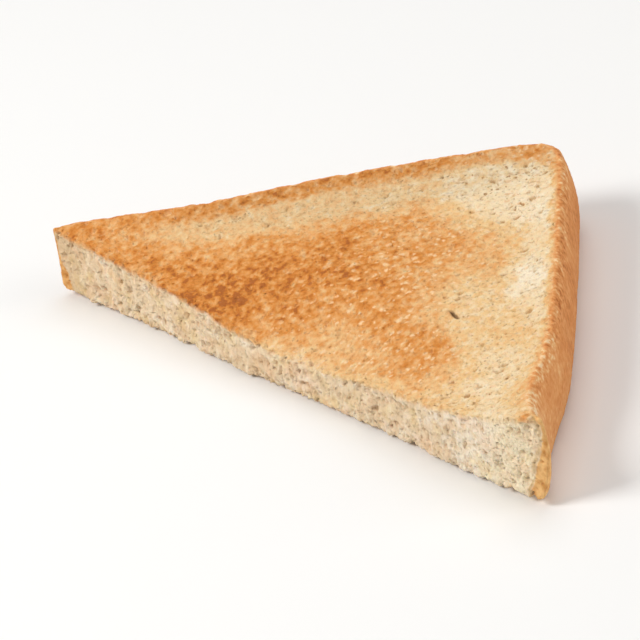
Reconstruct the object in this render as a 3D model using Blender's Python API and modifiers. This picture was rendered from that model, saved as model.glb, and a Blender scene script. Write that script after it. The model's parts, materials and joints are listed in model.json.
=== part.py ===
"""Half of a toasted slice of sandwich bread, cut from corner to corner, lying on its underside.

Frame: metres, +Z up. The long cut side faces -Y and runs along X, the right-angled corner points to +Y,
and the origin is the bottom centre of the toast's box.

The toast is modelled in the slice's own directions and then turned by 45 degrees:
  s runs from the right-angled corner along the base crust (the bottom of the loaf),
  t runs from the same corner along the side crust (the wall of the loaf),
  z runs up through the slice.
A coarse cage is moved into the toast's form by the functions below, and Subdivision Surface rounds it.
"""

import math

import bmesh
import bpy
from mathutils import Vector, noise

NAME = "toast"

# The slice
LEG = 0.112  # side of the square slice
HALF_CUT = LEG / math.sqrt(2)
TIP_THICKNESS = 0.0158  # at the two sharp tips
CORNER_RISE = 0.0014  # how much thicker the slice is at its right-angled corner
RIGHT_CORNER_RADIUS = 0.009
BASE_TIP_RADIUS = 0.007  # the loaf's bottom corner, at the end of the base crust
SIDE_TIP_RADIUS = 0.0075  # the loaf's top corner, at the end of the side crust

# The crusts
RIM_HEIGHT = 0.0009  # the crust stands this much above the dried crumb
RIM_WIDTH = 0.0045
# A crust's wall bulges halfway up and the crust bows outward as a whole. At a share of its length its
# upper edge caves in by the waist, and its lower edge by a share of that, the foot. The upper edge
# stands out again by the flare where the crust ends.
BASE_CRUST = {
    "bulge": 0.0012, "bow": 0.0004, "waist": 0.0024, "foot": 0.0, "waist_at": 0.68, "waist_reach": 0.17,
    "flare": 0.0,
}
SIDE_CRUST = {
    "bulge": 0.0017, "bow": 0.0009, "waist": 0.0030, "foot": 0.85, "waist_at": 0.85, "waist_reach": 0.12,
    "flare": 0.0032,
}
FLARE_REACH = 0.042  # as a share of the crust's length

# The cut, made with a knife that pressed the hot crumb down
PINCH = 0.0062  # drop of the face near the middle of the cut
PINCH_REACH = 0.013  # how far the drop runs into the face
PINCH_AT = -0.04  # along the cut, from -1 at the side crust's tip to +1 at the other
PINCH_HALF_WIDTH = 0.45  # as a share of half the cut's length
PRESS = 0.0014  # drop along nearly the whole cut
TIP_FADE = 6  # power of the curve that ends the press and the knife's path at the tips
TIP_PUFF = 0.0034  # the crumb swells up at the side crust's tip
PUFF_AT = -0.95
PUFF_HALF_WIDTH = 0.21
TIP_FOOT = 0.0016  # the base crust's tip stands out this far at its foot
TIP_FOOT_REACH = 0.008
CUT_LEAN = 0.0012  # the cut's lower edge stands out this far
CUT_WOBBLE = 0.00035  # the knife's path is not quite straight
WOBBLES = 1.15  # waves in half the cut's length
WOBBLE_PHASE = 0.6

# Slow relief of the dried face
HOLLOW = 0.0010  # the face sinks between the crusts
WAVE_HEIGHT = 0.0007
WAVE_LENGTH = 0.026
WAVE_SEED = 3.1
RIPPLE_HEIGHT = 0.00035
RIPPLE_LENGTH = 0.009
RIPPLE_SEED = 7.7

# The underside is flat where it rests
UNDER_LIFT = 0.0009  # lift of its outer edge
UNDER_REACH = 0.004
TIP_CURL = 0.0009  # lift of both tips
CURL_FROM = 0.82  # along the cut

# The cage
CELLS = 24  # even cells along each leg
EDGE_LOOP = 0.0018  # distance of the loop that holds an edge round but firm
CREASE = 0.6  # of the knife's edges
CREASE_FADE = 0.15  # they soften over this share of half the cut, towards the base crust's tip
TOUCH = 1e-6  # a point this near a plane lies on it
SHARP = math.radians(30)


def bell(x):
    return math.exp(-x * x)


def to_cut(s, t):
    """Distance from the cut, across the slice."""
    return (LEG - s - t) / math.sqrt(2)


def along_cut(s, t):
    """-1 at the side crust's tip, +1 at the base crust's tip."""
    return (s - t) / LEG


def block():
    """The square slice as a plain box, with its right-angled corner at the origin."""
    bm = bmesh.new()
    bmesh.ops.create_cube(bm, size=1.0)
    bmesh.ops.translate(bm, verts=bm.verts, vec=(0.5, 0.5, 0.5))
    bmesh.ops.scale(bm, verts=bm.verts, vec=(LEG, LEG, TIP_THICKNESS))
    return bm


def everything(bm):
    return [*bm.verts, *bm.edges, *bm.faces]


def cut_corner_to_corner(bm):
    """Takes away the half beyond the diagonal and closes the cut."""
    done = bmesh.ops.bisect_plane(
        bm, geom=everything(bm), plane_co=(LEG, 0, 0), plane_no=(1, 1, 0), clear_outer=True
    )
    rim = [item for item in done["geom_cut"] if isinstance(item, bmesh.types.BMEdge)]
    bmesh.ops.contextual_create(bm, geom=rim)


def loop_cuts(bm):
    """Even loops over the face, and one close to every edge."""
    cell = LEG / CELLS
    along = [EDGE_LOOP, *(cell * n for n in range(1, CELLS)), LEG - EDGE_LOOP]
    up = [EDGE_LOOP, TIP_THICKNESS / 2, TIP_THICKNESS - EDGE_LOOP]
    for axis, places in ((0, along), (1, along), (2, up)):
        normal = Vector((0, 0, 0))
        normal[axis] = 1
        for place in places:
            bmesh.ops.bisect_plane(
                bm, geom=everything(bm), dist=TOUCH, plane_co=normal * place, plane_no=normal
            )


def firm_cut_edges(bm):
    """Creases the edges round the cut, which are the only sharp ones on its plane."""
    crease = bm.edges.layers.float.new("crease_edge")
    for edge in bm.edges:
        on_cut = all(abs(v.co.x + v.co.y - LEG) < TOUCH for v in edge.verts)
        if on_cut and edge.calc_face_angle() > SHARP:
            middle = (edge.verts[0].co + edge.verts[1].co) / 2
            to_tip = 1 - along_cut(middle.x, middle.y)
            edge[crease] = CREASE * min(1, to_tip / CREASE_FADE)


def between_tips(w):
    """1 along nearly the whole cut, 0 at both tips."""
    return 1 - w**TIP_FADE


def relief(s, t, height, length, seed):
    return height * noise.noise(Vector((s / length, t / length, seed)))


def face_height(s, t):
    """Height of the toasted face."""
    w = along_cut(s, t)
    near_cut = bell(to_cut(s, t) / PINCH_REACH)
    to_crust = min(s, t)
    inside = 1 - bell(to_crust / RIM_WIDTH)
    height = TIP_THICKNESS + CORNER_RISE * to_cut(s, t) / HALF_CUT
    height -= near_cut * PINCH * bell((w - PINCH_AT) / PINCH_HALF_WIDTH)
    height -= near_cut * PRESS * between_tips(w)
    height += near_cut * TIP_PUFF * bell((w - PUFF_AT) / PUFF_HALF_WIDTH)
    height += RIM_HEIGHT * bell(to_crust / RIM_WIDTH)
    height -= HOLLOW * inside * (1 - near_cut)
    height += inside * relief(s, t, WAVE_HEIGHT, WAVE_LENGTH, WAVE_SEED)
    return height + inside * relief(s, t, RIPPLE_HEIGHT, RIPPLE_LENGTH, RIPPLE_SEED)


def underside_height(s, t):
    """Height of the underside: zero but for its outer edge and the tips."""
    to_edge = min(s, t, max(0, to_cut(s, t)))
    curl = TIP_CURL * max(0, abs(along_cut(s, t)) - CURL_FROM) / (1 - CURL_FROM)
    return UNDER_LIFT * max(0, 1 - to_edge / UNDER_REACH) ** 2 + curl


def crust_offset(crust, share, z_share):
    """How far a crust stands out, at a share of its length and a share of its height."""
    wall = crust["bulge"] * (1 - (2 * z_share - 1) ** 2)
    bow = crust["bow"] * math.sin(math.pi * share)
    up_share = crust["foot"] + (1 - crust["foot"]) * z_share
    caved = crust["waist"] * up_share * bell((share - crust["waist_at"]) / crust["waist_reach"])
    flare = crust["flare"] * z_share * bell((1 - share) / FLARE_REACH)
    return wall + bow + flare - caved


def cut_offset(w, z_share):
    """How far the cut side stands out: the knife leant a little and wandered."""
    wobble = CUT_WOBBLE * math.sin(2 * math.pi * WOBBLES * w + WOBBLE_PHASE)
    return between_tips(w) * (CUT_LEAN * (0.5 - z_share) + wobble)


def round_corner(s, t, corner, inward, radius):
    """Turns a square corner into a round one: squares about the arc's centre become circles."""
    across = Vector((radius - (s - corner[0]) * inward[0], radius - (t - corner[1]) * inward[1]))
    if min(across) <= 0:
        return s, t
    reach = max(across)
    across = across.normalized() * reach
    return corner[0] + (radius - across.x) * inward[0], corner[1] + (radius - across.y) * inward[1]


def place_vertex(s, t, z):
    """Where a point of the plain half box goes in the toast."""
    z_share = z / TIP_THICKNESS
    height = underside_height(s, t) * (1 - z_share) + face_height(s, t) * z_share
    w = along_cut(s, t)
    fade = max(0, 1 - max(0, to_cut(s, t)) / PINCH_REACH)
    # A crust's offset fades away over the depth of its rim, so that the cells behind it stay even.
    out_s = crust_offset(SIDE_CRUST, t / LEG, z_share) * max(0, 1 - s / (2 * RIM_WIDTH))
    out_t = crust_offset(BASE_CRUST, s / LEG, z_share) * max(0, 1 - t / (2 * RIM_WIDTH))
    out_cut = cut_offset(w, z_share) * fade / math.sqrt(2)
    s, t = round_corner(s, t, (0, 0), (1, 1), RIGHT_CORNER_RADIUS)
    s, t = round_corner(s, t, (LEG, 0), (-1, 1), BASE_TIP_RADIUS)
    s, t = round_corner(s, t, (0, LEG), (1, -1), SIDE_TIP_RADIUS)
    s += TIP_FOOT * (1 - z_share) * bell((LEG - s) / TIP_FOOT_REACH)
    return Vector((s - out_s + out_cut, t - out_t + out_cut, height))


def toast_cage():
    bm = block()
    cut_corner_to_corner(bm)
    loop_cuts(bm)
    firm_cut_edges(bm)
    for vertex in bm.verts:
        vertex.co = place_vertex(*vertex.co)
    bmesh.ops.recalc_face_normals(bm, faces=bm.faces)
    mesh = bpy.data.meshes.new(NAME)
    bm.to_mesh(mesh)
    bm.free()
    return mesh


def toasted_bread():
    """Golden toasted crumb."""
    material = bpy.data.materials.new("toasted_bread")
    material.use_nodes = True
    shader = material.node_tree.nodes["Principled BSDF"]
    shader.inputs["Base Color"].default_value = (0.62, 0.33, 0.11, 1)
    shader.inputs["Roughness"].default_value = 0.85
    shader.inputs["Metallic"].default_value = 0.0
    return material


def stand_on_origin(toast):
    """Turns the cut side to -Y and puts the bottom centre of the toast's box at the origin."""
    # This sends the base crust's direction to (-X, -Y) and the side crust's to (+X, -Y).
    toast.rotation_euler.z = math.radians(-135)
    bpy.context.view_layer.update()
    solid = toast.evaluated_get(bpy.context.evaluated_depsgraph_get())
    points = [solid.matrix_world @ vertex.co for vertex in solid.data.vertices]
    low = Vector(min(p[axis] for p in points) for axis in range(3))
    high = Vector(max(p[axis] for p in points) for axis in range(3))
    toast.location = (-(low.x + high.x) / 2, -(low.y + high.y) / 2, -low.z)


def build():
    for old in list(bpy.data.objects):
        bpy.data.objects.remove(old)
    collection = bpy.data.collections.new("toast_half")
    bpy.context.scene.collection.children.link(collection)
    toast = bpy.data.objects.new(NAME, toast_cage())
    collection.objects.link(toast)
    toast.data.materials.append(toasted_bread())
    rounding = toast.modifiers.new("rounding", "SUBSURF")
    rounding.levels = 1
    rounding.render_levels = 1
    toast.data.shade_smooth()
    stand_on_origin(toast)


build()
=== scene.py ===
# Half of a toasted slice of sandwich bread: browned face up, cut on the long side, crusts on the short ones.
import json
import math
from types import SimpleNamespace
import bmesh
import bpy
from mathutils import Matrix, Vector

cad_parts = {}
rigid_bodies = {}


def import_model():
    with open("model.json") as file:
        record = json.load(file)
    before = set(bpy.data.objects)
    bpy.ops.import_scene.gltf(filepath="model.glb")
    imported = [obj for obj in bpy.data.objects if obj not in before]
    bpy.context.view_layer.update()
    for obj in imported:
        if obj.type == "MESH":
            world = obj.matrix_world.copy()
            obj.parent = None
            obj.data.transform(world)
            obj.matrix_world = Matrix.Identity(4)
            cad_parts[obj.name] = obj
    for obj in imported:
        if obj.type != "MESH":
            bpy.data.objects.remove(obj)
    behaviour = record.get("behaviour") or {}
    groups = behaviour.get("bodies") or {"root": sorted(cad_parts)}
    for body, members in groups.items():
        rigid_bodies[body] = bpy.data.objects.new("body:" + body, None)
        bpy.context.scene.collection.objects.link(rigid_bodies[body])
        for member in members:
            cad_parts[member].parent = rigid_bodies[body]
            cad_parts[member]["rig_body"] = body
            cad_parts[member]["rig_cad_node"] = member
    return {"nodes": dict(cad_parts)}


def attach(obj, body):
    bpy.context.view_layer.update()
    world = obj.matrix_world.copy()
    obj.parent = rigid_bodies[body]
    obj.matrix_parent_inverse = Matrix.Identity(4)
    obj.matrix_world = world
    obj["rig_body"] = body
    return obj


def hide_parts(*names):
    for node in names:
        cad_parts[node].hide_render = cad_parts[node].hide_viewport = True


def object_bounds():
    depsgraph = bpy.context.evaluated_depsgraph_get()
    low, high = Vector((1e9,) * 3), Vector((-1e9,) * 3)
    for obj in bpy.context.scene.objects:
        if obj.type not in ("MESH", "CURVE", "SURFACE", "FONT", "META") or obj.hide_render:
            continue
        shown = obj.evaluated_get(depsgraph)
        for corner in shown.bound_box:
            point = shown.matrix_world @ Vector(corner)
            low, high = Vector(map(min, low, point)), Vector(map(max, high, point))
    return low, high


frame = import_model()
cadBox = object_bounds()
boxLow, boxHigh = (Vector(corner) for corner in cadBox)
mm = 0.001
toMm = 1000


class Wire:
    # wraps a socket: + - * / ** on it add Math nodes, or Vector Math nodes where it carries a vector
    def __init__(self, socket):
        self.socket = socket
        self.tree = socket.id_data

    @staticmethod
    def add(tree, kind, settings=None, sockets=None, output=0):
        node = tree.nodes.new(kind)
        for name, value in (settings or {}).items():
            if name == "stops":
                ramp = node.color_ramp
                while len(ramp.elements) < len(value):
                    ramp.elements.new(0.5)
                for stop, (place, colour) in zip(ramp.elements, value):
                    stop.position = place
                    stop.color = (*colour, 1)
            else:
                setattr(node, name, value)
        for name, value in (sockets or {}).items():
            if isinstance(value, Wire):
                tree.links.new(value.socket, node.inputs[name])
            else:
                node.inputs[name].default_value = value
        return Wire(node.outputs[output])

    def make(self, kind, settings=None, sockets=None, output=0):
        return Wire.add(self.tree, kind, settings, sockets, output)

    def calc(self, operation, *values):
        if self.socket.type == "VECTOR":
            spread = [v if isinstance(v, (Wire, tuple)) else (v, v, v) for v in values]
            inputs = dict(enumerate([self, *spread]))
            return self.make("ShaderNodeVectorMath", {"operation": operation}, inputs)
        return self.make("ShaderNodeMath", {"operation": operation}, dict(enumerate([self, *values])))

    def flipped(self, operation, value):
        return self.make("ShaderNodeMath", {"operation": operation}, {0: value, 1: self})

    def __add__(self, other):
        return self.calc("ADD", other)

    def __radd__(self, other):
        return self.calc("ADD", other)

    def __sub__(self, other):
        return self.calc("SUBTRACT", other)

    def __rsub__(self, other):
        return self.flipped("SUBTRACT", other)

    def __mul__(self, other):
        return self.calc("MULTIPLY", other)

    def __rmul__(self, other):
        return self.calc("MULTIPLY", other)

    def __truediv__(self, other):
        return self.calc("DIVIDE", other)

    def __rtruediv__(self, other):
        return self.flipped("DIVIDE", other)

    def __pow__(self, other):
        return self.calc("POWER", other)

    def parts(self):
        node = self.make("ShaderNodeSeparateXYZ", {}, {0: self}).socket.node
        return [Wire(out) for out in node.outputs]

    def rise(self, low, high):  # 0 below low, 1 above high, smooth between
        return self.make(
            "ShaderNodeMapRange", {"interpolation_type": "SMOOTHSTEP"},
            {"Value": self, "From Min": low, "From Max": high},
        )

    def fall(self, low, high):
        return 1 - self.rise(low, high)

    def toward(self, other, share):  # mixes numbers
        return self.make("ShaderNodeMix", {"data_type": "FLOAT"}, {0: share, 2: self, 3: other})

    def tint(self, other, share, blend="MIX"):  # mixes colours
        return self.make(
            "ShaderNodeMix", {"data_type": "RGBA", "blend_type": blend}, {0: share, 6: self, 7: other}, 2
        )

    def ramp(self, stops):
        return self.make("ShaderNodeValToRGB", {"stops": stops}, {0: self})

    def inRange(self):
        return self.make("ShaderNodeClamp", {}, {0: self})


# Places and sizes in the patterns are in millimetres.
def noiseAt(place, size, detail=2, seed=0.0):  # gives -0.5 to 0.5 or so
    moved = place + (seed, seed * 1.7, seed * 0.6)
    return place.make(
        "ShaderNodeTexNoise", {}, {"Vector": moved, "Scale": 1 / size, "Detail": detail}, "Fac"
    ) - 0.5


def bubbles(place, spacing, smallest, largest, seed, rarity=1.0):  # round pores: 1 inside, 0 between
    moved = place + (seed, seed * 0.4, seed * 1.3)
    cell = moved.make("ShaderNodeTexVoronoi", {}, {"Vector": moved, "Scale": 1 / spacing}).socket.node
    chance = Wire(cell.outputs["Color"]).parts()[0]
    radius = chance ** rarity * (largest - smallest) + smallest
    away = Wire(cell.outputs["Distance"]) * spacing
    return away.make(
        "ShaderNodeMapRange", {"interpolation_type": "SMOOTHSTEP"},
        {"Value": away, "From Min": radius, "From Max": radius * 0.3},
    )


def patch(x, y, centre, halfSizes, turn, soft):  # an oval: 1 inside, 0 outside
    c, s = math.cos(math.radians(turn)), math.sin(math.radians(turn))
    along = ((x - centre[0]) * c + (y - centre[1]) * s) / halfSizes[0]
    across = ((y - centre[1]) * c - (x - centre[0]) * s) / halfSizes[1]
    return (along * along + across * across).calc("SQRT").fall(1 - soft, 1 + soft)


bread = {
    "merge": 0.01 * mm,
    "edgeCrease": 0.4,
    "sharpAngle": math.radians(50),
    "tornTip": -70 * mm,  # edges beyond this, at the base crust's tip, aren't creased
    "rounding": 2,  # subdivision levels
    "voxel": 0.30 * mm,
    "mostTriangles": 194000,
    # which way the plain solid's faces look, as parts of their normals
    "wallTilt": 0.65,
    "offCut": -0.5,
    "cutFacing": -0.8,
    "faceUp": 0.75,
    # from here on in millimetres
    "crustThick": 1.5,
    "facePores": 0.65,  # depth of the pores on the toasted faces
    "cutPores": 1.05,  # and on the cut side
    "crustPores": 0.05,
    "deepestPore": 1.3,
    "poreBend": 2.0,  # size of the swirls that bend the pores out of round
    "poreBendBy": 2.2,
    "largePores": (4.4, 0.3, 1.5, 3.0, 2.8),  # spacing, least and most radius, seed, rarity of large ones
    "middlePores": (2.2, 0.25, 1.25, 11.0, 1.4),
    "smallPores": (1.05, 0.15, 0.52, 27.0),
    "split": ((28, -15.5), (2.0, 0.32), -16, 0.5),  # a tear in the face: place, half sizes, turn, softness
    "splitFrom": (8, 10),  # height over which it starts
    "splitDepth": 0.8,
    "splitBend": (1.2, 1, 4.0),  # this and the next ones are noise: size, detail, seed
    "grain": (1.3, 3, 5.0),
    "torn": (3.4, 2, 9.0),
    "tornStretch": (0.6, 1.0, 1.0),
    "ragged": (1.5, 2, 31.0),
    "wrinkles": (6.0, 3, 21.0),
    "rim": (2.8, 4, 55.0),
}


def reliefTree():
    tree = bpy.data.node_groups.new("breadRelief", "GeometryNodeTree")
    tree.interface.new_socket("Geometry", in_out="INPUT", socket_type="NodeSocketGeometry")
    tree.interface.new_socket("Geometry", in_out="OUTPUT", socket_type="NodeSocketGeometry")
    mesh = Wire.add(tree, "NodeGroupInput")
    solid = mesh.make(
        "GeometryNodeObjectInfo", {"transform_space": "ORIGINAL"},
        {"Object": frame["nodes"]["toast"]}, "Geometry",
    )
    normal = mesh.make("GeometryNodeInputNormal")
    ny, nz = normal.parts()[1:]
    place = mesh.make("GeometryNodeInputPosition") * toMm
    x, y, z = place.parts()

    def compare(value, operation, limit):
        return mesh.make("FunctionNodeCompare", {"operation": operation}, {0: value, 1: limit})

    def depthFrom(test):  # distance to those faces of the plain solid that pass the test
        part = mesh.make(
            "GeometryNodeSeparateGeometry", {"domain": "FACE"}, {"Geometry": solid, "Selection": test}
        )
        return mesh.make("GeometryNodeProximity", {"target_element": "FACES"}, {0: part}, "Distance") * toMm

    def store(name, value):
        return mesh.make(
            "GeometryNodeStoreNamedAttribute", {"data_type": "FLOAT"},
            {"Geometry": mesh, "Name": name, "Value": value},
        )

    def stored(name):
        return mesh.make("GeometryNodeInputNamedAttribute", {"data_type": "FLOAT"}, {"Name": name})

    upright = compare(nz.calc("ABSOLUTE"), "LESS_THAN", bread["wallTilt"])
    offCut = compare(ny, "GREATER_THAN", bread["offCut"])
    crustWall = mesh.make("FunctionNodeBooleanMath", {"operation": "AND"}, {0: upright, 1: offCut})
    depths = {
        "crustDepth": depthFrom(crustWall),
        "cutDepth": depthFrom(compare(ny, "LESS_THAN", bread["cutFacing"])),
        "faceDepth": depthFrom(compare(nz, "GREATER_THAN", bread["faceUp"])),
        "underDepth": depthFrom(compare(nz, "LESS_THAN", -bread["faceUp"])),
    }
    for name, value in depths.items():
        mesh = store(name, value)

    crust = stored("crustDepth").fall(0.2, bread["crustThick"])
    cut = stored("cutDepth").fall(0.1, 1.6) * stored("crustDepth").rise(0.1, 1.2)
    nearFace = stored("faceDepth").calc("MINIMUM", stored("underDepth")).fall(0.3, 2.2)

    swirl = place.make(
        "ShaderNodeTexNoise", {}, {"Vector": place, "Scale": 1 / bread["poreBend"], "Detail": 1}, "Color"
    )
    swirl = place.make("ShaderNodeVectorMath", {"operation": "SUBTRACT"}, {0: swirl, 1: (0.5, 0.5, 0.5)})
    warped = place + swirl * bread["poreBendBy"]
    large = bubbles(warped, *bread["largePores"])
    middle = bubbles(warped, *bread["middlePores"])
    small = bubbles(warped, *bread["smallPores"])
    hollow = large * (cut * 0.5 + 0.4) + middle * 0.85 + small * (cut * 0.3 + 0.45)
    mesh = store("hollow", hollow.calc("MINIMUM", bread["deepestPore"]))
    splitX = x + noiseAt(place, *bread["splitBend"]) * 0.8
    split = patch(splitX, y, *bread["split"]) * z.rise(*bread["splitFrom"])
    mesh = store("split", split)
    raised = noiseAt(place, *bread["grain"])
    mesh = store("raised", raised)

    facePores, cutPores = bread["facePores"], bread["cutPores"]
    pores = (cut * (cutPores - facePores) + facePores).toward(bread["crustPores"], crust)
    rough = raised * (cut * 0.3 + 0.8).toward(0.22, crust)
    torn = noiseAt(place * bread["tornStretch"], *bread["torn"]) * cut * 1.4
    ragged = noiseAt(place, *bread["ragged"]) * cut * nearFace * 1.5
    wrinkles = noiseAt(place, *bread["wrinkles"]) * crust * 0.5
    alongRim = stored("crustDepth").fall(0.5, 4.5) * stored("faceDepth").fall(0.6, 2.5)
    rim = noiseAt(place, *bread["rim"]) * alongRim
    rise = rough + torn + ragged + wrinkles + rim - hollow * pores - split * bread["splitDepth"]
    offset = rise * mm
    moved = normal * mesh.make("ShaderNodeCombineXYZ", {}, {0: offset, 1: offset, 2: offset})
    mesh = mesh.make("GeometryNodeSetPosition", {}, {"Geometry": mesh, "Offset": moved})

    # nothing reaches below the floor that the toast lies on
    aboveFloor = {0: x * mm, 1: y * mm, 2: z.calc("MAXIMUM", 0.0) * mm}
    rested = mesh.make("ShaderNodeCombineXYZ", {}, aboveFloor)
    mesh = mesh.make("GeometryNodeSetPosition", {}, {"Geometry": mesh, "Position": rested})
    out = tree.nodes.new("NodeGroupOutput")
    tree.links.new(mesh.socket, out.inputs[0])
    return tree


def applyModifier(piece, kind, **settings):
    bpy.context.view_layer.objects.active = piece
    modifier = piece.modifiers.new(kind.lower(), kind)
    for name, value in settings.items():
        setattr(modifier, name, value)
    bpy.ops.object.modifier_apply(modifier=modifier.name)


def onlySelect(piece):
    bpy.ops.object.select_all(action="DESELECT")
    piece.select_set(True)
    bpy.context.view_layer.objects.active = piece


def creaseCutEdges(piece):  # the knife's edges, but for the torn tip
    bpy.ops.mesh.select_all(action="DESELECT")
    bpy.ops.mesh.edges_select_sharp(sharpness=bread["sharpAngle"])
    cage = bmesh.from_edit_mesh(piece.data)
    for edge in cage.edges:
        if min(vertex.co.x for vertex in edge.verts) < bread["tornTip"]:
            edge.select = False
    bmesh.update_edit_mesh(piece.data)
    bpy.ops.transform.edge_crease(value=bread["edgeCrease"])


def makeBread():
    node = frame["nodes"]["toast"]
    piece = node.copy()
    piece.data = node.data.copy()
    piece.parent = None
    piece.name = "toastHalf"
    piece.data.name = "toastHalf"
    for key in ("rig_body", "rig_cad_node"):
        del piece[key]
    bpy.context.scene.collection.objects.link(piece)
    onlySelect(piece)
    bpy.ops.object.mode_set(mode="EDIT")
    bpy.ops.mesh.select_all(action="SELECT")
    bpy.ops.mesh.remove_doubles(threshold=bread["merge"])
    bpy.ops.mesh.tris_convert_to_quads()
    bpy.ops.mesh.select_mode(type="EDGE")
    creaseCutEdges(piece)
    bpy.ops.object.mode_set(mode="OBJECT")
    applyModifier(piece, "SUBSURF", levels=bread["rounding"], render_levels=bread["rounding"])
    applyModifier(piece, "REMESH", mode="VOXEL", voxel_size=bread["voxel"])
    print("remeshed:", len(piece.data.polygons), "faces")
    applyModifier(piece, "NODES", node_group=reliefTree())
    triangles = sum(len(face.vertices) - 2 for face in piece.data.polygons)
    applyModifier(piece, "DECIMATE", ratio=min(1, bread["mostTriangles"] / triangles))
    onlySelect(piece)
    bpy.ops.object.shade_smooth()
    print("bread:", len(piece.data.polygons), "faces")
    return piece


look = {
    "browning": [  # from dry crumb through gold and orange to dark brown
        (0.00, (0.930, 0.800, 0.600)),
        (0.15, (0.880, 0.690, 0.435)),
        (0.30, (0.840, 0.565, 0.275)),
        (0.45, (0.820, 0.470, 0.200)),
        (0.60, (0.765, 0.360, 0.115)),
        (0.75, (0.700, 0.275, 0.058)),
        (0.90, (0.590, 0.195, 0.028)),
        (1.00, (0.430, 0.130, 0.024)),
    ],
    "crumb": [  # of the cut side, from its hollows to its walls
        (0.20, (0.740, 0.540, 0.330)),
        (0.50, (0.850, 0.665, 0.450)),
        (0.80, (0.945, 0.815, 0.650)),
    ],
    "crust": [
        (0.00, (0.430, 0.130, 0.032)),
        (0.40, (0.685, 0.268, 0.082)),
        (0.70, (0.770, 0.362, 0.135)),
        (0.88, (0.830, 0.500, 0.230)),
        (1.00, (0.890, 0.620, 0.360)),
    ],
    "rind": (0.52, 0.30, 0.09, 1),  # the brown line where the crust meets the crumb
    "golden": [  # the crust beside the cut at the tips, and its spots
        (0.30, (0.880, 0.540, 0.220)),
        (0.90, (0.600, 0.270, 0.070)),
    ],
    "fleck": (0.98, 0.67, 0.42, 1),
    "splitShade": (0.20, 0.10, 0.04, 1),
    "poreShade": (0.52, 0.38, 0.25, 1),  # painted shade in the pores; this and the next three multiply the colour under them
    "rosy": (1.0, 0.92, 0.88, 1),
    "yellowish": (1.0, 0.98, 0.86, 1),
    "muted": (0.91, 0.96, 1.05, 1),  # over the pale band along the back crust
    "dryRoughness": 0.90,
    "butteredBy": 0.26,  # how much smoother butter makes the face
    "bumpHeight": 0.5 * mm,
    "scatter": 0.12,
    "scatterRadius": (1.0, 0.55, 0.3),
    "scatterScale": 1.6 * mm,
    "specular": 0.18,
}

# Browning, from 0 for pale crumb to 1 for dark brown.
level = {
    "face": 0.66,
    "baseRim": 0.76,
    "sideRim": 0.52,
    "under": 0.60,
    "underRim": 0.22,
    "pore": 0.22,
    "golden": 0.50,
}

# Where the face is more or less browned: centre, half sizes, turn in degrees, softness, browning, strength.
zones = {
    "paleCorner": ((4, 20), (23, 12.5), 0, 0.20, 0.15, 1.0),
    "paleSide": ((41, -4), (36, 8), -49, 0.35, 0.05, 0.95),
    "paleRight": ((50, -24), (24, 14), -15, 0.40, 0.18, 0.9),
    "paleMiddle": ((29, -12), (12, 8), 0, 0.5, 0.24, 0.85),
    "paleFoot": ((56, -33), (15, 4.5), -5, 0.5, 0.10, 0.8),
    "goldSide": ((44, -12), (13, 6), -49, 0.7, 0.26, 0.7),
    "paleBase": ((-33, -5), (32, 7), 45, 0.40, 0.36, 0.95),
    "goldTop": ((6, 8), (20, 4), 0, 0.7, 0.44, 0.7),
    "goldRight": ((20, 3), (10, 9), 0, 0.6, 0.34, 0.8),
    "paleEdge": ((29, 4), (11, 3), -45, 0.6, 0.12, 0.85),
    "goldLeft": ((-17, 5), (9, 6), 45, 0.7, 0.32, 0.7),
    "goldFoot": ((30, -28), (14, 7), 0, 0.6, 0.64, 0.9),
    "goldLow": ((7, -33), (18, 5), 0, 0.7, 0.42, 0.85),
    "goldEdge": ((10, -38), (28, 3), 0, 0.7, 0.26, 0.8),
    "brownPatch": ((-26, -33), (13, 7), 5, 0.6, 0.90, 0.9),
    "brownMiddle": ((-15, -21), (19, 8), 20, 0.7, 0.84, 0.8),
    "brownUpper": ((-15, -9), (11, 7), 30, 0.7, 0.72, 0.5),
    "brownLow": ((-7, -26), (7, 5), 0, 0.7, 0.84, 0.7),
    "orangeMiddle": ((19, -17), (12, 6), 0, 0.7, 0.48, 0.5),
    "lightMiddle": ((-2, 1), (6, 4), 0, 0.8, 0.50, 0.5),
    "lightUpper": ((-22, -6), (6, 4), 30, 0.8, 0.56, 0.5),
    "lightLow": ((-17, -33), (5, 4), 0, 0.8, 0.60, 0.5),
    "goldTip": ((-58, -32), (16, 5), 0, 0.6, 0.68, 0.85),
    "orangeTip": ((66, -33), (8, 4), -48, 0.7, 0.30, 0.7),
    "orangeFoot": ((50, -36), (8, 4), 0, 0.7, 0.34, 0.7),
    "orangeDot": ((46, -15), (5, 4), 0, 0.8, 0.34, 0.6),
}

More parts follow.
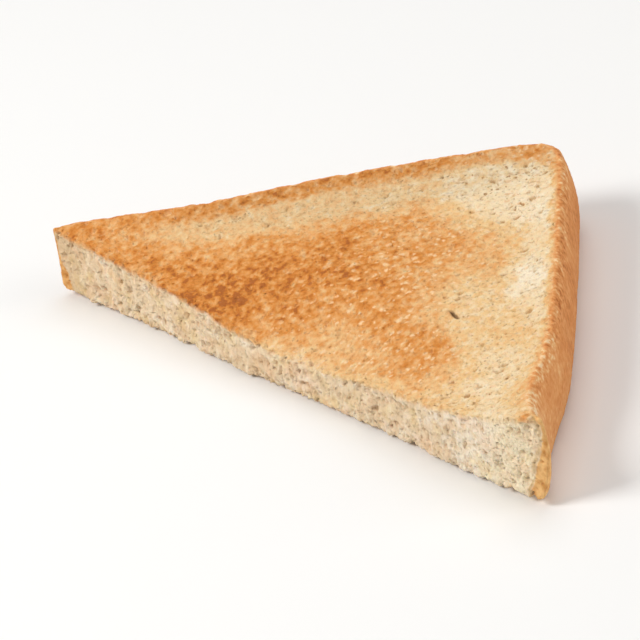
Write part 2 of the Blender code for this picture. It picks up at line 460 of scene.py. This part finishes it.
# Small uneven spots that keep their place: centre, half sizes, change in browning.
spots = [
    ((-32, -24), (6, 5), -0.10),
    ((-24, -7), (6, 5), -0.10),
    ((-61, -26), (8, 5), -0.12),
    ((-24, -33), (6, 4), 0.12),
    ((-16, -9), (5, 5), 0.13),
    ((12, -17), (9, 5), 0.10),
    ((27, -25), (9, 4), 0.10),
    ((14, 3), (8, 5), 0.08),
    ((32, 1), (5, 4), -0.10),
    ((8, -8), (4, 4), -0.10),
    ((24, -8), (4, 4), -0.10),
    ((48, -24), (5, 4), -0.10),
    ((-17, 7), (5, 4), -0.08),
    ((10, 21), (7, 6), -0.06),
    ((56, -24), (6, 5), 0.06),
    ((40, -15), (5, 4), 0.06),
    ((-8, 8), (5, 4), 0.07),
    ((-8, -8), (5, 4), -0.08),
    ((0, -24), (5, 4), -0.09),
    ((-24, -24), (5, 4), 0.08),
    ((40, -24), (4, 4), -0.06),
    ((-48, -33), (7, 3), 0.06),
    ((16, 13), (5, 4), -0.05),
    ((-4, 25), (8, 5), 0.05),
    ((32, -38), (12, 3), -0.12),
    ((65, -38), (9, 2.5), -0.10),
    ((64, -28), (5, 4), 0.08),
    ((44, -36), (5, 3), 0.06),
    ((28, -4), (4, 6), -0.08),
]

# Ovals of other patterns: centre, half sizes, turn and softness.
ovals = {
    "muted": ((-24, 8), (44, 9), 45, 0.4),
    "tornTip": ((-79, -39), (8, 6), 0, 0.15),
    "foot": ((-76, 2), (4.5, 6), 0, 0.4),  # in x and z
    "speckled": ((-2, 25), (14, 9), 0, 0.6),
}

# Stretches along x over which something fades in or out.
spans = {
    "baseRim": (-16, 4),
    "baseTip": (-74, -50),
    "sideRim": (-6, 2),
    "paleFlecks": (-25, 10),
    "brightFlecks": (-25, 5),
    # painted light and shade along the cut side: lighter towards one tip, darker at the other
    "paintedLightCrumb": (30, 75),
    "paintedShadeCrumb": (-74, -62),
    "yellowCrumb": (55, 72),
    "fainterPoreShade": (45, 66),
    "lighterCrust": (45, 74),
    "golden": (20, 60),
    "goldenFoot": (-76, -68),
    "thickCrust": (54, 68),
    "rind": (40, 70),
}

# Noise: size, detail and seed.
grains = {
    "frayX": (4, 3, 12.0),
    "frayY": (4, 3, 60.0),
    "driftX": (16, 2, 2.0),
    "driftY": (16, 2, 40.0),
    "rimEdge": (3.0, 3, 33.0),
    "mottle": (1.7, 3, 7.0),
    "clouds": (5.0, 2, 17.0),
    "under": (22, 3, 80.0),
    "fleckBend": (1.5, 2, 37.0),
    "fineBend": (0.8, 2, 19.0),
    "dotBend": (1.0, 2, 29.0),
    "tornEdge": (1.6, 2, 15.0),
    "crumb": (2.6, 3, 51.0),
    "rosy": (4.0, 2, 101.0),
    "yellowish": (5.0, 2, 107.0),
    "crustClouds": (6.0, 2, 71.0),
    "crustSpots": (2.6, 2, 77.0),
    "crustGrain": (1.1, 3, 79.0),
    "crustEdge": (1.8, 2, 91.0),
    "goldenEdge": (1.6, 3, 85.0),
    "goldenSpots": (1.7, 3, 87.0),
    "rind": (2.0, 2, 95.0),
    "shade": (1.1, 3, 113.0),
    "gloss": (1.2, 2, 97.0),
    "bump": (0.7, 4, 5.5),
}

# Round spots: spacing, least and most radius, seed, and how rare the large ones are.
dotted = {
    "flecks": (1.7, 0.3, 0.85, 45.0),
    "fine": (0.85, 0.08, 0.36, 63.0, 1.5),
    "dots": (1.5, 0.12, 0.55, 131.0),
}


def grain(place, name):
    return noiseAt(place, *grains[name])


def readBread(tree):  # places and depths that all parts of the look share, in millimetres
    place = Wire.add(tree, "ShaderNodeTexCoord", output="Object") * toMm
    x, y, z = place.parts()
    flat = place * (1.0, 1.0, 0.0)
    names = ("crustDepth", "cutDepth", "faceDepth", "underDepth", "hollow", "raised", "split")
    return SimpleNamespace(
        place=place, x=x, y=y, z=z, flat=flat,
        frayX=grain(flat, "frayX"),
        frayY=grain(flat, "frayY"),
        skin=z.rise(5, 9),  # 1 on the face's half of the thickness
        flecks=bubbles(place + grain(place, "fleckBend") * 1.5, *dotted["flecks"]),
        fine=bubbles(place + grain(place, "fineBend"), *dotted["fine"]),
        **{name: place.make("ShaderNodeAttribute", {"attribute_name": name}, {}, "Fac") for name in names},
    )


def browning(on):  # of the face, and of the underside, which is toasted more evenly
    driftedX = on.x + grain(on.flat, "driftX") * 8 + on.frayX * 8
    driftedY = on.y + grain(on.flat, "driftY") * 8 + on.frayY * 8
    face = on.x * 0 + level["face"]
    for centre, halfSizes, turn, soft, browned, strength in zones.values():
        share = patch(driftedX, driftedY, centre, halfSizes, turn, soft) * strength
        face = face.toward(browned, share)
    for centre, halfSizes, change in spots:
        face = face + patch(on.x, on.y, centre, halfSizes, 0, 0.9) * change
    ragged = on.crustDepth + grain(on.place, "rimEdge") * 4
    fading = on.x.rise(*spans["baseTip"]) * 0.5 + 0.5
    baseRim = ragged.fall(3.0, 6.5) * on.x.fall(*spans["baseRim"]) * fading
    sideRim = ragged.fall(1.0, 3.0) * on.x.rise(*spans["sideRim"])
    face = face.toward(level["baseRim"], baseRim * 0.9).toward(level["sideRim"], sideRim * 0.8)
    mottle = on.raised * 0.9 + grain(on.place, "mottle") * 1.9 + grain(on.place, "clouds") * 0.4
    face = face + mottle * (face * 0.75 + 0.10)
    under = grain(on.flat, "under") * 1.1 + level["under"]
    under = under.toward(level["underRim"], ragged.fall(4, 11) * 0.6) + mottle * 0.5
    return under.toward(face, on.skin)


def toastColour(on, browned):
    lighter = on.hollow * 0.5 + on.flecks * (on.x.rise(*spans["paleFlecks"]) * 0.55 + 0.2)
    browned = browned - lighter * (browned - level["pore"])
    colour = browned.inRange().ramp(look["browning"])
    bright = on.flecks * on.skin * on.x.rise(*spans["brightFlecks"]) * 0.45
    colour = colour.tint(look["fleck"], bright)
    return colour.tint(look["muted"], patch(on.x, on.y, *ovals["muted"]) * on.skin, "MULTIPLY")


def bareCrumb(on):  # its share and colour: on the cut side and at its torn edges
    inward = on.underDepth.toward(on.faceDepth, on.skin) + grain(on.place, "tornEdge") * 1.2
    tornFoot = on.cutDepth.fall(0.5, 2.0) * (1 - on.skin)
    tornTip = patch(on.x + on.frayX * 5, on.y + on.frayY * 5, *ovals["tornTip"])
    tornTip = tornTip * on.faceDepth.rise(0.3, 1.2)
    share = inward.rise(on.skin * 0.2 - 0.1, on.skin * 1.1 + 0.5)
    share = share.calc("MAXIMUM", tornFoot).calc("MAXIMUM", tornTip)
    tone = grain(on.place, "crumb") * 1.2 + on.raised * 0.4 + 0.46
    # painted light and shade: the cut side lighter towards one tip and darker at the other
    tone = tone + on.x.rise(*spans["paintedLightCrumb"]) * 0.4 - on.x.fall(*spans["paintedShadeCrumb"]) * 0.3
    rosy = grain(on.place, "rosy").rise(-0.05, 0.2)
    yellowish = grain(on.place, "yellowish").rise(0, 0.2) + on.x.rise(*spans["yellowCrumb"])
    colour = tone.inRange().ramp(look["crumb"]).tint(look["rosy"], rosy, "MULTIPLY")
    return share, colour.tint(look["yellowish"], yellowish, "MULTIPLY")


def crustLook(on):  # its share and colour, and the share of the line where it meets the crumb
    edgeZone = on.faceDepth.fall(1.0, 4.5)
    mottled = grain(on.place, "crustClouds") * 0.6 + grain(on.place, "crustSpots") * (edgeZone * 0.9 + 0.2)
    mottled = mottled + grain(on.place, "crustGrain") * (edgeZone * 1.2 + 0.9)
    tone = mottled + edgeZone * 0.12 + on.x.rise(*spans["lighterCrust"]) * 0.3 + 0.42
    besideCut = on.cutDepth + grain(on.place, "goldenEdge") * 2.0
    atFoot = on.x.fall(*spans["goldenFoot"])
    golden = besideCut.fall(1.4, 3.0) * (on.x.rise(*spans["golden"]) + atFoot) * 0.85
    goldenTone = grain(on.place, "goldenSpots") * 2.4 + atFoot * 0.2 + 0.45
    goldenColour = goldenTone.inRange().ramp(look["golden"])
    colour = tone.inRange().ramp(look["crust"]).tint(goldenColour, golden)

    foot = patch(on.x, on.z, *ovals["foot"]) * 2.5  # a bit of crust at one tip
    thick = on.x.rise(*spans["thickCrust"]) * on.z.fall(6, 18) * 2.2  # and more at the other tip's foot
    inCrust = on.crustDepth + grain(on.place, "crustEdge") * 0.8 - foot - thick
    section = on.cutDepth.fall(0.3, 1.0)
    share = inCrust.fall(0.35, 1.5 - section * 0.6)
    rind = section * (inCrust - 1.1).calc("ABSOLUTE").fall(0.1, 0.7) * on.x.rise(*spans["rind"])
    return share, colour, rind * grain(on.place, "rind").rise(-0.2, 0.1) * 0.6


def paintedPoreShade(on, browned, crumb, crust):  # painted shade in the pores: dark in what is pale, and faint in the rest, with a fine grain of painted shade over it
    nearCorner = patch(on.x, on.y, *ovals["speckled"])
    dots = bubbles(on.place + grain(on.place, "dotBend"), *dotted["dots"])
    poreShadow = on.hollow.rise(0.25, 0.9) * 0.8 + on.fine * 0.4
    poreShadow = poreShadow + (on.flecks * 0.35 + dots * 0.9) * (nearCorner * 0.8 + 0.3)
    # the painted pore shade is fainter on the cut side towards its lighter tip
    inCrumb = 0.5 - on.x.rise(*spans["fainterPoreShade"]) * 0.25
    poreShadow = poreShadow * browned.fall(level["pore"], level["golden"]).toward(inCrumb, crumb)
    # a fine grain of painted shade, in place of the shading of the crumb's relief
    poreShadow = poreShadow + grain(on.place, "shade").rise(0.0, 0.3) * (1 - crumb * 0.6) * 0.45
    return poreShadow.calc("MINIMUM", 1.0) * (1 - crust)


def breadMaterial():
    material = bpy.data.materials.new("toastedBread")
    material.use_nodes = True
    tree = material.node_tree
    shader = tree.nodes["Principled BSDF"]
    on = readBread(tree)
    browned = browning(on)
    crumb, crumbColour = bareCrumb(on)
    crust, crustColour, rind = crustLook(on)
    colour = toastColour(on, browned).tint(crumbColour, crumb)
    colour = colour.tint(look["rind"], rind).tint(crustColour, crust)
    # painted shade in the pores
    colour = colour.tint(look["poreShade"], paintedPoreShade(on, browned, crumb, crust), "MULTIPLY")
    colour = colour.tint(look["splitShade"], (on.split * 1.6).calc("MINIMUM", 0.85))
    tree.links.new(colour.socket, shader.inputs["Base Color"])

    buttered = (1 - crumb) * (1 - crust) * on.skin
    roughness = look["dryRoughness"] - buttered * look["butteredBy"] + grain(on.place, "gloss") * 0.2
    tree.links.new(roughness.socket, shader.inputs["Roughness"])
    height = (grain(on.place, "bump") - on.fine * 0.45) * (1 - crust * 0.7)
    bump = height.make(
        "ShaderNodeBump", {}, {"Strength": 1.0, "Distance": look["bumpHeight"], "Height": height}
    )
    tree.links.new(bump.socket, shader.inputs["Normal"])
    shader.inputs["Subsurface Weight"].default_value = look["scatter"]
    shader.inputs["Subsurface Radius"].default_value = look["scatterRadius"]
    shader.inputs["Subsurface Scale"].default_value = look["scatterScale"]
    shader.inputs["Specular IOR Level"].default_value = look["specular"]
    return material


def stands(piece, material):
    piece.data.materials.clear()
    piece.data.materials.append(material)
    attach(piece, "root")


toast = makeBread()
stands(toast, breadMaterial())
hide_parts("toast")
print("bread finished")

studio = {
    "azimuth": 57.7, "elevation": 30.0, "roll": 15.1,  # of the camera, in degrees
    "distance": 0.90,
    "lens": 250,
    "aim": (-21.4 * mm, -11.6 * mm),  # right and up of the middle of the box
    "farthest": 20,
    "floor": (0.90, 0.90, 0.895),
    "floorSize": 6,
    "floorRoughness": 0.55,
    "world": (1.0, 1.0, 1.0),
    "worldStrength": 0.30,
}
lights = {  # azimuth, elevation, distance, size, watts, colour
    "key": (-30, 46, 1.0, 0.40, 6.4, (1.0, 0.985, 0.96)),
    "top": (-150, 68, 1.1, 0.8, 3.6, (1.0, 0.99, 0.98)),
    "fill": (118, 30, 1.2, 0.7, 4.2, (1.0, 0.98, 0.95)),
}


def direction(azimuth, elevation):
    a, e = math.radians(azimuth), math.radians(elevation)
    return Vector((math.sin(a) * math.cos(e), -math.cos(a) * math.cos(e), math.sin(e)))


def turnedTo(back):
    return back.to_track_quat("Z", "Y").to_matrix().to_4x4()


def addCamera():
    back = direction(studio["azimuth"], studio["elevation"])
    turned = turnedTo(back) @ Matrix.Rotation(-math.radians(studio["roll"]), 4, "Z")
    aim = (boxLow + boxHigh) / 2 + turned @ Vector((*studio["aim"], 0))
    camera = bpy.data.objects.new("camera", bpy.data.cameras.new("camera"))
    camera.matrix_world = Matrix.Translation(aim + back * studio["distance"]) @ turned
    camera.data.lens = studio["lens"]
    camera.data.clip_end = studio["farthest"]
    bpy.context.scene.collection.objects.link(camera)
    bpy.context.scene.camera = camera


def addLight(name, azimuth, elevation, distance, size, power, colour):
    light = bpy.data.lights.new(name, "AREA")
    light.shape = "SQUARE"
    light.size = size
    light.energy = power
    light.color = colour
    lamp = bpy.data.objects.new(name, light)
    back = direction(azimuth, elevation)
    lamp.matrix_world = Matrix.Translation(back * distance) @ turnedTo(back)
    bpy.context.scene.collection.objects.link(lamp)


def addFloor():
    bpy.ops.object.select_all(action="DESELECT")
    bpy.ops.mesh.primitive_plane_add(size=studio["floorSize"], location=(0, 0, 0))
    floor = bpy.context.active_object
    floor.name = "floor"
    material = bpy.data.materials.new("paleFloor")
    material.use_nodes = True
    shader = material.node_tree.nodes["Principled BSDF"]
    shader.inputs["Base Color"].default_value = (*studio["floor"], 1)
    shader.inputs["Roughness"].default_value = studio["floorRoughness"]
    floor.data.materials.append(material)


def addWorld():
    world = bpy.data.worlds.new("studio")
    world.use_nodes = True
    background = world.node_tree.nodes["Background"]
    background.inputs["Color"].default_value = (*studio["world"], 1)
    background.inputs["Strength"].default_value = studio["worldStrength"]
    bpy.context.scene.world = world
    bpy.context.scene.view_settings.view_transform = "Standard"


addCamera()
addFloor()
addWorld()
for name, values in lights.items():
    addLight(name, *values)
print("stage set")
